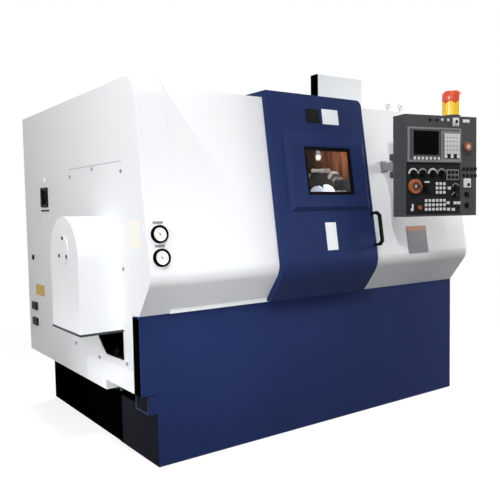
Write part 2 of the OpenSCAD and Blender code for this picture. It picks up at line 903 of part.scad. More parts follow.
in_frame() base_frame();
in_frame() front_base_panel();
in_frame() leveling_feet();
in_frame() coolant_tank();
in_frame() left_cover();
in_frame() spindle_guard();
in_frame() guard_cap();
in_frame() front_cover_left();
in_frame() front_cover_right();
in_frame() roof_cover();
in_frame() rear_cabinet();
in_frame() roof_cooler();
in_frame() cooler_grille();
in_frame() cabinet_fittings();
in_frame() gauge_cases();
in_frame() door_rail();
in_frame() slant_bed();
in_frame() headstock();
in_frame() headstock_wall();
in_frame() spindle_bearings();
in_frame() z_rails();
in_frame() z_motor();
in_frame() spindle_motor();
in_frame() drive_belt();
in_frame() work_light();
in_frame() panel_bracket();
in_frame() door_shell();
in_frame() window_frame();
in_frame() window_glass();
in_frame() door_handle();
in_frame() door_shoes();
in_frame() cabinet_door();
in_frame() main_switch();
in_frame() spindle();
in_frame() chuck_body();
in_frame() spindle_pulley();
in_frame() rotary_cylinder();
in_frame() jaw_1();
in_frame() jaw_2();
in_frame() jaw_3();
in_frame() motor_pulley();
in_frame() saddle();
in_frame() x_motor();
in_frame() z_screw();
in_frame() cross_slide();
in_frame() turret_disk();
in_frame() tool_holders();
in_frame() panel_box();
in_frame() panel_screen();
in_frame() panel_keys();
in_frame() beacon_amber();
in_frame() beacon_red();
in_frame() e_stop();
in_frame() handwheel();
in_frame() knob_1();
in_frame() knob_2();
in_frame() knob_3();
in_frame() knob_4();
in_frame() start_button();
in_frame() hold_button();
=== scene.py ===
"""Looks of the CNC turning lathe: finishes, fittings, floor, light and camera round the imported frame."""

import math

import bmesh
import bpy
from mathutils import Matrix, Vector


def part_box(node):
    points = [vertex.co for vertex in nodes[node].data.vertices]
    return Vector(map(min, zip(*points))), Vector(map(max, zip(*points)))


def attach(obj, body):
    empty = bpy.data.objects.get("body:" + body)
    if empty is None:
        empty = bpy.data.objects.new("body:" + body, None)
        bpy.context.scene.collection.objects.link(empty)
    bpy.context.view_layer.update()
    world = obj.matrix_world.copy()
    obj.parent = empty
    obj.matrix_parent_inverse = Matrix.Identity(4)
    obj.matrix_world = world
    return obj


MM = 0.001

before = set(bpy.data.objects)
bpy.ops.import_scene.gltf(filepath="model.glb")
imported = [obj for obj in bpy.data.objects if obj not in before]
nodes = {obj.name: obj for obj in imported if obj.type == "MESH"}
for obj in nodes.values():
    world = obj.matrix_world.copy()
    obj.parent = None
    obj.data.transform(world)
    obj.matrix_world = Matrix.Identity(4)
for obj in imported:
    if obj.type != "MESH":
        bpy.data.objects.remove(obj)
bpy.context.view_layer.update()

# Corner of the base on the floor, front left, from which the machine is laid out
BASE_LENGTH = 1936
CORNER = Vector((
    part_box("front_base_panel")[1][0] - BASE_LENGTH * MM,
    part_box("front_base_panel")[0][1],
    0.0,
))

# Driving sizes of the covers and the operator panel, in millimetres and radians
FRONT_LEAN = math.radians(8.4)
NOSE_RADIUS = 90
NOSE_OUT = 112
NOSE_HEIGHT = 829
SIDE_X = -76
DOOR_PROUD = 36
ROOF_HEIGHT = 1590
PANEL_SWING = math.radians(13)
PIN = Vector((1318, -113, 0))
PANEL_FACE = -112
PANEL_Z = 1028


def at(x, y, z):
    """A point of the machine's layout, in millimetres from the base's corner, in the row frame."""
    return CORNER + Vector((x, y, z)) * MM


def linear(hex_colour):
    """Scene-linear colour from a written sRGB one."""
    parts = [int(hex_colour[i:i + 2], 16) / 255 for i in (1, 3, 5)]
    return [c / 12.92 if c <= 0.04045 else ((c + 0.055) / 1.055) ** 2.4 for c in parts]


def scaled(colour, share):
    """A colour made darker or lighter, as a shader takes it."""
    return (*[min(1.0, c * share) for c in colour], 1.0)


def noise(tree, coords, scale, detail=3.0):
    """A noise texture's value at a scale in cycles per metre."""
    made = tree.nodes.new("ShaderNodeTexNoise")
    made.inputs["Scale"].default_value = scale
    made.inputs["Detail"].default_value = detail
    tree.links.new(coords, made.inputs["Vector"])
    return made.outputs[0]


def ranged(tree, value, low, high, to_low, to_high):
    """A value taken from one range to another."""
    made = tree.nodes.new("ShaderNodeMapRange")
    for place, number in zip((1, 2, 3, 4), (low, high, to_low, to_high)):
        made.inputs[place].default_value = number
    tree.links.new(value, made.inputs[0])
    return made.outputs[0]


def blended(tree, factor, first, second):
    """Two colours, or a colour's socket and a colour, mixed by a factor."""
    made = tree.nodes.new("ShaderNodeMix")
    made.data_type = "RGBA"
    tree.links.new(factor, made.inputs[0])
    for place, colour in ((6, first), (7, second)):
        if isinstance(colour, tuple):
            made.inputs[place].default_value = colour
        else:
            tree.links.new(colour, made.inputs[place])
    return made.outputs[2]


def combined(tree, operation, first, second):
    """Two values joined by a math operation."""
    made = tree.nodes.new("ShaderNodeMath")
    made.operation = operation
    tree.links.new(first, made.inputs[0])
    tree.links.new(second, made.inputs[1])
    return made.outputs[0]


def object_place(tree):
    """The place on the object, in metres."""
    return tree.nodes.new("ShaderNodeTexCoord").outputs["Object"]


def distance_from(tree, point):
    """How far the surface lies from a point, in metres."""
    made = tree.nodes.new("ShaderNodeVectorMath")
    made.operation = "DISTANCE"
    made.inputs[1].default_value = point
    tree.links.new(object_place(tree), made.inputs[0])
    return made.outputs["Value"]


def lay_over(material, factor, tone):
    """Lays a tone over a material's colour by a factor."""
    tree = material.node_tree
    colour = tree.nodes["Principled BSDF"].inputs["Base Color"]
    under = colour.links[0].from_socket
    tree.links.new(blended(tree, factor, under, (*linear(tone), 1.0)), colour)


def worn_and_highlit_edges(tree, spots):
    """One along sharp edges where the spots are strong, else zero."""
    rounded = tree.nodes.new("ShaderNodeBevel")
    rounded.samples = 4
    rounded.inputs["Radius"].default_value = 3 * MM
    plain = tree.nodes.new("ShaderNodeNewGeometry")
    facing = tree.nodes.new("ShaderNodeVectorMath")
    facing.operation = "DOT_PRODUCT"
    tree.links.new(rounded.outputs[0], facing.inputs[0])
    tree.links.new(plain.outputs["Normal"], facing.inputs[1])
    edge = ranged(tree, facing.outputs["Value"], 0.99, 0.85, 0.0, 1.0)
    return combined(tree, "MULTIPLY", edge, ranged(tree, spots, 0.42, 0.62, 0.0, 1.0))


def finish(name, colour, roughness, metallic=0.0, specular=0.4, coat=0.0, tint=0.06, patch=5.0,
           grain=700.0, bump=0.1, stretch=(1, 1, 1), edge_tone=None, alpha=1.0, glow=0.0):
    """A material with patches of tone, uneven gloss, a fine grain and, where asked for, edges of another
    tone in spots: wear on most finishes, and a painted highlight on the blue paint.
    """
    material = bpy.data.materials.new(name)
    material.use_nodes = True
    tree = material.node_tree
    shader = tree.nodes["Principled BSDF"]
    place = object_place(tree)
    mapping = tree.nodes.new("ShaderNodeMapping")
    mapping.inputs["Scale"].default_value = stretch
    tree.links.new(place, mapping.inputs["Vector"])
    patches = noise(tree, place, patch, 4.0)
    grains = noise(tree, mapping.outputs["Vector"], grain)
    base = linear(colour)
    spread = ranged(tree, patches, 0.3, 0.7, 0.0, 1.0)
    tone = blended(tree, spread, scaled(base, 1 - tint), scaled(base, 1 + tint))
    # Edges of another tone in spots: wear, and on the blue paint a painted highlight
    if edge_tone:
        spots = noise(tree, place, 38.0, 5.0)
        tone = blended(tree, worn_and_highlit_edges(tree, spots), tone, (*linear(edge_tone), 1.0))
    tree.links.new(tone, shader.inputs["Base Color"])
    gloss = ranged(tree, grains if metallic else patches, 0.3, 0.7, roughness - 0.05, roughness + 0.07)
    tree.links.new(gloss, shader.inputs["Roughness"])
    rise = tree.nodes.new("ShaderNodeBump")
    rise.inputs["Strength"].default_value = bump
    rise.inputs["Distance"].default_value = MM
    tree.links.new(grains, rise.inputs["Height"])
    tree.links.new(rise.outputs[0], shader.inputs["Normal"])
    shader.inputs["Metallic"].default_value = metallic
    shader.inputs["Specular IOR Level"].default_value = specular
    shader.inputs["Coat Weight"].default_value = coat
    shader.inputs["Alpha"].default_value = alpha
    if glow:
        tree.links.new(tone, shader.inputs["Emission Color"])
        shader.inputs["Emission Strength"].default_value = glow
    return material


WHITE_PAINT = {"colour": "#e3e5e7", "roughness": 0.42, "specular": 0.3, "tint": 0.012, "patch": 2.2,
               "grain": 900, "bump": 0.04}
# Middle of the painted reflection of warm light on the sheet at the right end of the work area
WARM_REFLECTION_MIDDLE = at(1928, 865, 1440)
# Face of the guard's cap, and the depth and height of its three screws
CAP_FACE = -272
CAP_SCREWS = ((320, 971), (275.8, 894.5), (364.2, 894.5))


def splash_finish():
    """Sheet of the work area: dark brown, with a painted reflection of warm light, lighter and more
    orange, to the upper right, streaked with runs.
    """
    material = finish("splash sheet", "#382b24", 0.4, specular=0.15, tint=0.25, patch=12)
    tree = material.node_tree
    runs = tree.nodes.new("ShaderNodeMapping")
    runs.inputs["Scale"].default_value = (14, 14, 2)
    tree.links.new(object_place(tree), runs.inputs["Vector"])
    drips = ranged(tree, noise(tree, runs.outputs["Vector"], 1.6, 5.0), 0.38, 0.66, 0.25, 1.0)
    # Orange laid over near that middle, streaked by the runs: a painted reflection of warm light
    near = ranged(tree, distance_from(tree, WARM_REFLECTION_MIDDLE), 0.06, 0.24, 1.0, 0.0)
    lay_over(material, combined(tree, "MULTIPLY", drips, near), "#fa9f72")
    return material


def cap_finish():
    """White paint of the guard's cap, with its three screw heads dark."""
    material = finish("cap paint", **WHITE_PAINT)
    tree = material.node_tree
    for y, z in CAP_SCREWS:
        near = ranged(tree, distance_from(tree, at(CAP_FACE, y, z)), 9 * MM, 10.5 * MM, 1.0, 0.0)
        lay_over(material, near, "#3a3b3e")
    return material


def zoned_finish(name, colour, roughness, metallic, centre, axis, zones):
    """A material whose colour changes at radii round an axis, from the widest zone to the narrowest."""
    material = finish(name, colour, roughness, metallic=metallic, specular=0.2, tint=0.12, patch=40)
    tree = material.node_tree
    value = object_place(tree)
    for operation, vector in (("SUBTRACT", centre), ("CROSS_PRODUCT", axis), ("LENGTH", None)):
        step = tree.nodes.new("ShaderNodeVectorMath")
        step.operation = operation
        if vector is not None:
            step.inputs[1].default_value = vector
        tree.links.new(value, step.inputs[0])
        value = step.outputs["Value" if operation == "LENGTH" else "Vector"]
    for radius, tone in zones:
        inside = ranged(tree, value, radius * MM, (radius + 1.5) * MM, 1.0, 0.0)
        lay_over(material, inside, tone)
    return material


WHITE = finish("white paint", **WHITE_PAINT)
# The roof box's paint is a greyed copy of the white paint: painted shade
SHADED_COOLER_WHITE = finish("cooler paint with painted shade", "#c6c9cc", 0.45, specular=0.2, tint=0.015, patch=3, grain=900,
                      bump=0.05)
# Blue paint: its lighter blue edge tone is a painted highlight along the edges, laid in spots like wear
BLUE = finish("blue paint", "#222f59", 0.5, specular=0.05, patch=3, grain=900, bump=0.05, edge_tone="#35447a")
BLACK = finish("black paint", "#030304", 0.6, specular=0.0, tint=0.15, bump=0.12, edge_tone="#141516")
CAST = finish("grey cast paint", "#6c7177", 0.55, tint=0.1, grain=260, bump=0.35, edge_tone="#8f959b")
# A darker grey cast paint for the saddle and the cross slide
DARK_CAST = finish("dark cast paint", "#3b3c3f", 0.5, specular=0.15, tint=0.15, grain=260, bump=0.3,
                   edge_tone="#6a6e73")
STEEL = finish("machined steel", "#c3c8cd", 0.3, metallic=1.0, grain=900, bump=0.08,
               stretch=(0.03, 1, 1))
DARK_STEEL = finish("blackened steel", "#43474d", 0.42, metallic=0.7, tint=0.12, edge_tone="#8d9197")
PANEL_GREY = finish("panel grey", "#505153", 0.6, specular=0.08, grain=1100, bump=0.18, edge_tone="#66676a")
BEZEL_GREY = finish("bezel grey", "#87888b", 0.5, specular=0.25, grain=1100, bump=0.15)
PANEL_DARK = finish("panel dark", "#1f2022", 0.6, specular=0.08, grain=1100, bump=0.15)
BLACK_PLASTIC = finish("black plastic", "#08090a", 0.5, specular=0.08, tint=0.12, grain=1300, bump=0.15)
LIGHT_KEYS = finish("light keys", "#e2e2e2", 0.5, tint=0.03, grain=1300, bump=0.1)
HOLDER_STEEL = finish("holder steel", "#877e76", 0.4, metallic=0.3, tint=0.1, edge_tone="#cfcac4")
# Pale and hardly metallic, so that the turret's block reads as lit steel: a painted sheen
PAINTED_SHEEN_STEEL = finish("steel with painted sheen", "#c9ced9", 0.3, metallic=0.1, tint=0.08, patch=20)
DIM_KEYS = finish("dim keys", "#8a8b8d", 0.5, tint=0.05, grain=1300, bump=0.1)
SCREEN = finish("screen glass", "#020203", 0.3, specular=0.03, tint=0.2, bump=0.01)
GLASS = finish("window pane", "#1a1f24", 0.06, specular=0.15, patch=9, bump=0.004, alpha=0.1)
LENS = {"roughness": 0.22, "coat": 0.4, "stretch": (1, 1, 0.04), "grain": 160, "bump": 0.3}
AMBER = finish("amber lens", "#efbf17", glow=0.15, **LENS)
RED = finish("red lens", "#cf4416", glow=0.12, **LENS)
ORANGE = finish("orange plastic", "#9a4c2a", 0.4, tint=0.25, patch=60, grain=1300)
RUBBER = finish("rubber", "#070708", 0.75, specular=0.05, grain=500, bump=0.3)
RIM_DARK = finish("dark rim", "#3a3b3d", 0.7, specular=0.15, grain=500, bump=0.3)
DIAL_WHITE = finish("dial white", "#efefeb", 0.4, tint=0.02, patch=40, bump=0.02)
PLATE_WHITE = finish("white plate", "#eceef0", 0.35, tint=0.02, patch=30, bump=0.04)
PLATE_CREAM = finish("cream plate", "#ece9e0", 0.4, tint=0.02, patch=30, bump=0.04)
NAVY_BLACK = finish("navy black paint", "#13151d", 0.6, specular=0.02, tint=0.15, bump=0.12)
CLIP_BLUE = finish("clip paint", "#2d3350", 0.5, specular=0.05, tint=0.1, bump=0.06)
PLATE_GREY = finish("grey plate", "#5a5d62", 0.5, tint=0.12, patch=18, bump=0.06)
PLATE_ORANGE = finish("orange plate", "#a8602e", 0.5, tint=0.15, patch=30, bump=0.06)
PLATE_YELLOW = finish("yellow plate", "#c9a443", 0.5, tint=0.12, patch=30, bump=0.06)
# The lamp head glows all over, its grey housing too: painted light on the housing
LAMP_HEAD_PAINTED_GLOW = finish("lamp head with painted glow", "#56534d", 0.5, specular=0.1, tint=0.05, glow=0.7)
LAMP = finish("lamp tube", "#fff3dc", 0.4, tint=0.02, glow=1.0)
SPLASH = splash_finish()
CAP_WHITE = cap_finish()
# Finishes that change round an axis: a middle, the axis, and the radii in millimetres of the inner zones
PANEL_OUT = (-math.sin(PANEL_SWING), -math.cos(PANEL_SWING), 0)
# The turret's dark steel has a pale round zone on its face: a painted highlight
TURRET = zoned_finish("turret steel with painted highlight", "#2b2a29", 0.45, 0.3, at(1400, 553.3, 1153.3), (1, 0, 0),
                      [(61, "#b4bccb")])
# The stop button grows paler towards its middle in two zones: a painted highlight on the mushroom head
STOP_RED = zoned_finish("stop button", "#86513c", 0.4, 0.0, at(1653, -311, 1383), PANEL_OUT,
                        [(18, "#a8705a"), (9, "#ead2c4")])
# The hand wheel darkens in two inner zones, painted shade in its dished middle, round a pale centre that
# is a painted highlight
WHEEL = zoned_finish("hand wheel with painted shade and highlight", "#b0653f", 0.45, 0.0, at(1336, -240, 1180), PANEL_OUT,
                     [(24, "#7d4a34"), (17, "#3d322d"), (7, "#cbb3a4")])

# The CAD nodes of each finish
LOOKS = {
    WHITE: ["left_cover", "spindle_guard", "front_cover_left", "front_cover_right", "roof_cover",
            "rear_cabinet", "cabinet_door"],
    SHADED_COOLER_WHITE: ["roof_cooler"],
    CAP_WHITE: ["guard_cap"],
    BLUE: ["front_base_panel", "door_shell"],
    BLACK: ["base_frame", "cooler_grille", "coolant_tank", "gauge_cases"],
    CAST: ["slant_bed", "headstock", "headstock_wall"],
    DARK_CAST: ["saddle", "cross_slide"],
    STEEL: ["leveling_feet", "door_rail", "spindle_bearings", "z_rails", "door_shoes", "spindle",
            "chuck_body", "spindle_pulley", "jaw_1", "jaw_2", "jaw_3", "motor_pulley", "z_screw"],
    TURRET: ["turret_disk"],
    HOLDER_STEEL: ["tool_holders"],
    DARK_STEEL: ["rotary_cylinder", "spindle_motor", "x_motor", "z_motor"],
    PANEL_GREY: ["panel_box"],
    BEZEL_GREY: ["panel_bracket"],
    PANEL_DARK: ["panel_keys"],
    BLACK_PLASTIC: ["cabinet_fittings", "main_switch", "door_handle", "knob_1", "knob_2", "knob_3",
                    "knob_4", "hold_button"],
    SCREEN: ["panel_screen"],
    GLASS: ["window_glass"],
    AMBER: ["beacon_amber"],
    RED: ["beacon_red"],
    STOP_RED: ["e_stop"],
    WHEEL: ["handwheel"],
    ORANGE: ["start_button"],
    RUBBER: ["window_frame", "drive_belt"],
    LAMP: ["work_light"],
}

# Nodes with softened edges, and the width of the softening in millimetres
SOFT_EDGES = {"front_base_panel": 1.2, "door_shell": 1.4, "left_cover": 1.4, "front_cover_left": 1.2,
              "front_cover_right": 1.2, "spindle_guard": 1.4, "rear_cabinet": 1.4, "roof_cooler": 3,
              "panel_box": 3, "door_handle": 2, "main_switch": 2, "cabinet_fittings": 2,
              "beacon_red": 3, "turret_disk": 2, "tool_holders": 1.5, "chuck_body": 2,
              "guard_cap": 0.8, "gauge_cases": 1.5, "handwheel": 2, "e_stop": 2}


def soften(piece, width):
    """Welds a piece's seams and rounds its sharp edges a little."""
    weld = piece.modifiers.new("weld", "WELD")
    weld.merge_threshold = 0.02 * MM
    bevel = piece.modifiers.new("bevel", "BEVEL")
    bevel.width = width * MM
    bevel.segments = 2
    bevel.limit_method = "ANGLE"
    bevel.angle_limit = math.radians(35)


def dress_nodes():
    """Gives each CAD node its finish and soft edges."""
    for material, names in LOOKS.items():
        for name in names:
            mesh = nodes[name].data
            mesh.materials.clear()
            mesh.materials.append(material)
    for name, width in SOFT_EDGES.items():
        soften(nodes[name], width)


def lean_y(z, out):
    """Place of the leaning front at a height, moved out by a distance."""
    middle = NOSE_RADIUS - NOSE_OUT
    reach = NOSE_RADIUS + out - math.sin(FRONT_LEAN) * (z - NOSE_HEIGHT)
    return middle - reach / math.cos(FRONT_LEAN)


def on_front(x, z, out):
    """Frame on the leaning front: x to the right, y up the face, z out of it."""
    turn = Matrix.Rotation(math.pi / 2 - FRONT_LEAN, 4, "X")
    return Matrix.Translation(at(x, lean_y(z, out), z)) @ turn


def on_panel(x, z, out=0.0):
    """Frame on the operator panel's face, from its foot: x along it, y up, z out of it."""
    swing = Matrix.Translation(at(PIN.x, PIN.y, 0)) @ Matrix.Rotation(-PANEL_SWING, 4, "Z")
    place = Matrix.Translation(Vector((x, PANEL_FACE - out, PANEL_Z + z)) * MM)
    return swing @ place @ Matrix.Rotation(math.pi / 2, 4, "X")


def on_left(y, z, out=0.0):
    """Frame on the left side: x towards the front, y up, z out of it."""
    turn = Matrix(((0, 0, -1, 0), (-1, 0, 0, 0), (0, 1, 0, 0), (0, 0, 0, 1)))
    return Matrix.Translation(at(SIDE_X - out, y, z)) @ turn


def on_back(x, z, y):
    """Frame on a face that looks back, at a depth: x towards the left side, y up, z out of it."""
    turn = Matrix(((-1, 0, 0, 0), (0, 0, 1, 0), (0, 1, 0, 0), (0, 0, 0, 1)))
    return Matrix.Translation(at(x, y, z)) @ turn


def on_floor(x=0, y=0, z=0):
    """Frame with the machine's own axes."""
    return Matrix.Translation(at(x, y, z))


def piece_from(name, build, place, material, body, soft=0.4):
    """A mesh piece built in millimetres in its own frame, put in place and joined to a body."""
    shape = bmesh.new()
    build(shape)
    bmesh.ops.scale(shape, vec=(MM, MM, MM), verts=shape.verts)
    bmesh.ops.transform(shape, matrix=place, verts=shape.verts)
    bmesh.ops.recalc_face_normals(shape, faces=shape.faces)
    mesh = bpy.data.meshes.new(name)
    shape.to_mesh(mesh)
    shape.free()
    mesh.materials.append(material)
    piece = bpy.data.objects.new(name, mesh)
    bpy.context.scene.collection.objects.link(piece)
    if soft:
        soften(piece, soft)
    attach(piece, body)


def add_block(shape, size, middle):
    """Adds a box of a size round a middle point."""
    made = bmesh.ops.create_cube(shape, size=1.0)["verts"]
    bmesh.ops.scale(shape, vec=size, verts=made)
    bmesh.ops.translate(shape, vec=middle, verts=made)


def add_round(shape, radius, height, middle, sides=32, top=None):
    """Adds a cylinder, or a cone with a top radius, standing on a middle point along z."""
    made = bmesh.ops.create_cone(
        shape, cap_ends=True, segments=sides, radius1=radius,
        radius2=radius if top is None else top, depth=height)["verts"]
    bmesh.ops.translate(shape, vec=(middle[0], middle[1], middle[2] + height / 2), verts=made)


def close_rows(shape, rows, whole=True):
    """Joins rows of four points into a closed loop, or into a bar with two ends."""
    for i in range(len(rows) if whole else len(rows) - 1):
        a, b = rows[i], rows[(i + 1) % len(rows)]
        for k in range(4):
            shape.faces.new((a[k], b[k], b[(k + 1) % 4], a[(k + 1) % 4]))
    if not whole:
        shape.faces.new(rows[0])
        shape.faces.new(rows[-1])


def add_ring(shape, outer, inner, height, middle, start=0.0, end=360.0, steps=32):
    """Adds a flat ring, or a part of one, standing on a middle point along z."""
    whole = end - start >= 360
    count = steps if whole else steps + 1
    rows = []
    for i in range(count):
        angle = math.radians(start + (end - start) * i / steps)
        c, s = math.cos(angle), math.sin(angle)
        low, high = middle[2], middle[2] + height
        rows.append([shape.verts.new((middle[0] + r * c, middle[1] + r * s, z))
                     for r, z in ((inner, low), (outer, low), (outer, high), (inner, high))])
    close_rows(shape, rows, whole)


def add_frame(shape, low, high, rim, height, slope):
    """Adds a rectangular rim round an area, whose inner flank slopes."""
    rows = []
    for grow, z in ((0, 0), (0, height), (-rim, height), (-rim - slope, 0)):
        x0, y0, x1, y1 = low[0] - grow, low[1] - grow, high[0] + grow, high[1] + grow
        rows.append([shape.verts.new((x, y, z)) for x, y in ((x0, y0), (x1, y0), (x1, y1), (x0, y1))])
    for k in range(4):
        a, b = rows[k], rows[(k + 1) % 4]
        for i in range(4):
            shape.faces.new((a[i], a[(i + 1) % 4], b[(i + 1) % 4], b[i]))


def add_sheet(shape, points, thick):
    """Adds a flat sheet with an outline of points, standing thick along z."""
    low = [shape.verts.new((x, y, 0)) for x, y in points]
    high = [shape.verts.new((x, y, thick)) for x, y in points]
    shape.faces.new(low)
    shape.faces.new(high)
    for i in range(len(points)):
        j = (i + 1) % len(points)
        shape.faces.new((low[i], low[j], high[j], high[i]))


def plate(name, place, width, height, thick, material, body, soft=0.4):
    """A plain plate lying on the face of its frame."""
    piece_from(name, lambda s: add_block(s, (width, height, thick), (0, 0, thick / 2)),
               place, material, body, soft)


def disc(name, place, radius, thick, material, body, sides=32):
    """A plain disc lying on the face of its frame."""
    piece_from(name, lambda s: add_round(s, radius, thick, (0, 0, 0), sides),
               place, material, body)


# The gauges: their place along the front, their heights, and how far the case's floor stands out
GAUGE_X = -22
GAUGE_HEIGHTS = (987, 894)
GAUGE_FACE = 10
DIAL_THICK = 1.5


def make_gauges():
    """Dial faces with ticks and a needle, and a blank bar above each gauge."""
    def ticks(shape):
        for i in range(11):
            angle = math.radians(225 - 27 * i)
            c, s = math.cos(angle), math.sin(angle)
            for k in range(3):
                reach = 19 + 2.4 * k
                add_block(shape, (1.8, 1.8, 0.4), (reach * c, reach * s, 0.2))

    def needle(shape):
        add_block(shape, (1.8, 18, 0.6), (0, 5, 0.7))
        add_round(shape, 3.4, 1.6, (0, 0, 0.4), 16)

    for i, z in enumerate(GAUGE_HEIGHTS, 1):
        floor = on_front(GAUGE_X, z, GAUGE_FACE)
        face = on_front(GAUGE_X, z, GAUGE_FACE + DIAL_THICK)
        disc(f"gauge_dial_{i}", floor, 28.3, DIAL_THICK, DIAL_WHITE, "machine")
        piece_from(f"gauge_ticks_{i}", ticks, face, DIM_KEYS, "machine", 0)
        turned = face @ Matrix.Rotation(math.radians(40), 4, "Z")
        piece_from(f"gauge_needle_{i}", needle, turned, PLATE_GREY, "machine", 0)
        above = on_front(GAUGE_X - 1, z + 47, 0)
        plate(f"gauge_bar_{i}", above, 44, 10, 2, DIM_KEYS, "machine")


def make_plates():
    """Blank plates where the machine carries its plates and badges."""
    plate("door_plate_dark", on_front(830, 1517, DOOR_PROUD), 84, 66, 2,
          BLACK_PLASTIC, "door")
    plate("door_plate_light", on_front(943, 1519, DOOR_PROUD), 104, 74, 2,
          PLATE_WHITE, "door")
    plate("door_plate_small", on_front(869, 946, DOOR_PROUD), 68, 132, 1,
          PLATE_WHITE, "door")
    plate("cover_plate", on_front(1519, 903, 0), 158, 146, 1.5, PLATE_GREY, "machine")
    plate("cover_plate_head", on_front(1519, 962, 1.5), 158, 26, 0.5,
          PLATE_ORANGE, "machine", 0.1)
    plate("side_plate", on_left(1280, 642), 150, 62, 1, PLATE_YELLOW, "machine")
    plate("corner_plate", on_left(16, 985), 100, 112, 0.6, PLATE_CREAM, "machine", 0.2)


# The spindle guard's outer face, its two sides and its foot
GUARD_X = -268
GUARD_Y = (151, 489)
GUARD_FOOT = 573
# Depth and height of the screws on the left side
SIDE_SCREWS = ((448, 1277), (132, 1249), (737, 1256), (731, 425), (428, 408), (127, 433), (136, 838))
# Outline of the skirt's access plate on the left side, depth counted towards the front
SKIRT_OUTLINE = ((-590, 275), (-362, 275), (-362, 320), (-72, 320), (-72, 408), (-116, 410),
                 (-560, 395), (-590, 380))
# Depth and top of the pipe unions in the skirt's opening, where they stand, and where they begin
UNIONS = ((440, 428), (398, 398), (466, 392))
UNION_X = 14
UNION_FOOT = 240
# Places of the lifting eyes on the roof
EYES = ((1448, 36), (1541, 32))


def make_side_details():
    """Screws, plates and rims on the left side, and the eyes on the roof."""
    def screw(shape):
        add_round(shape, 9, 2, (0, 0, 0), 24)
        add_round(shape, 7, 3, (0, 0, 2), 6, 6)

    for i, (y, z) in enumerate(SIDE_SCREWS, 1):
        piece_from(f"side_screw_{i}", screw, on_left(y, z), DIM_KEYS, "machine")
    disc("switch_lamp", on_left(1136, 1255), 15, 5, PLATE_WHITE, "machine")

    piece_from("skirt_plate", lambda s: add_sheet(s, SKIRT_OUTLINE, 1.2), on_left(0, 0),
               PLATE_WHITE, "machine")
    plate("corner_return", on_left(182, 119, SIDE_X + 3), 352, 226, 1.2,
          NAVY_BLACK, "machine")
    clip_side = on_left(66, 273, SIDE_X + 40)
    plate("clip_face", clip_side, 126, 82, 0.8, NAVY_BLACK, "machine", 0.2)

    def clip(shape):
        add_block(shape, (9, 82, 3), (-58, 0, 1.5))
        add_block(shape, (9, 82, 3), (58, 0, 1.5))
        add_block(shape, (126, 8, 3), (0, -37, 1.5))

    piece_from("corner_clip", clip, clip_side, CLIP_BLUE, "machine", 0.8)
    piece_from("clip_front", lambda s: add_block(s, (38, 1.6, 80), (-20, 2.2, 273)), on_floor(),
               BLUE, "machine", 0.3)
    plate("side_seam", on_left(440, 1292), 620, 2.5, 0.4, DIM_KEYS, "machine", 0.1)

    def unions(shape):
        for y, top in UNIONS:
            add_round(shape, 8, top - UNION_FOOT, (UNION_X, y, UNION_FOOT), 24)
            add_round(shape, 14, 16, (UNION_X, y, top - 22), 6)
            add_round(shape, 11, 10, (UNION_X, y, top - 4), 24, 9)

    piece_from("pipe_unions", unions, on_floor(), DARK_STEEL, "machine", 0.6)

    # A dark grey strip round the guard's foot
    def rim(shape):
        middle = (GUARD_Y[0] + GUARD_Y[1]) / 2
        length = GUARD_Y[1] - GUARD_Y[0] + 6
        add_block(shape, (7, length, 10), (GUARD_X + 1.5, middle, GUARD_FOOT))
        for y, side in zip(GUARD_Y, (1.5, -1.5)):
            add_block(shape, (SIDE_X - GUARD_X, 7, 10), ((SIDE_X + GUARD_X) / 2, y + side, GUARD_FOOT))

    piece_from("guard_rim", rim, on_floor(), RIM_DARK, "machine", 1)

    def eye(shape):
        add_round(shape, 15, 6, (0, 0, 0), 24)
        add_round(shape, 8, 16, (0, 0, 6), 24)
        before = set(shape.verts)
        add_ring(shape, 17, 10, 9, (0, 0, -4.5))
        ring = [v for v in shape.verts if v not in before]
        tilt = Matrix.Rotation(math.radians(70), 3, "X")
        bmesh.ops.rotate(shape, verts=ring, cent=(0, 0, 0), matrix=tilt)
        bmesh.ops.translate(shape, verts=ring, vec=(0, 0, 33))

    for i, (x, y) in enumerate(EYES, 1):
        piece_from(f"roof_eye_{i}", eye, on_floor(x, y, ROOF_HEIGHT),
                   LIGHT_KEYS, "machine", 1)


# Back of the rear cabinet, and the wall behind its door
CABINET_BACK = 1497
CABINET_WALL = 1072.2
# Middles of the cabinet's door and of the bolted cover beside it, along and up
BACK_DOOR = (480, 1130)
BACK_COVER = (1410, 1130)
# Foot of each louvre in the door's two fields
LOUVRE_FEET = [foot + 20 * i for foot in (770, 1330) for i in range(9)]
LOUVRE_LENGTH = 460
# Back of the box on the roof, and the middle of its fan
COOLER_BACK = 556
COOLER_MIDDLE = (1539, 1729)


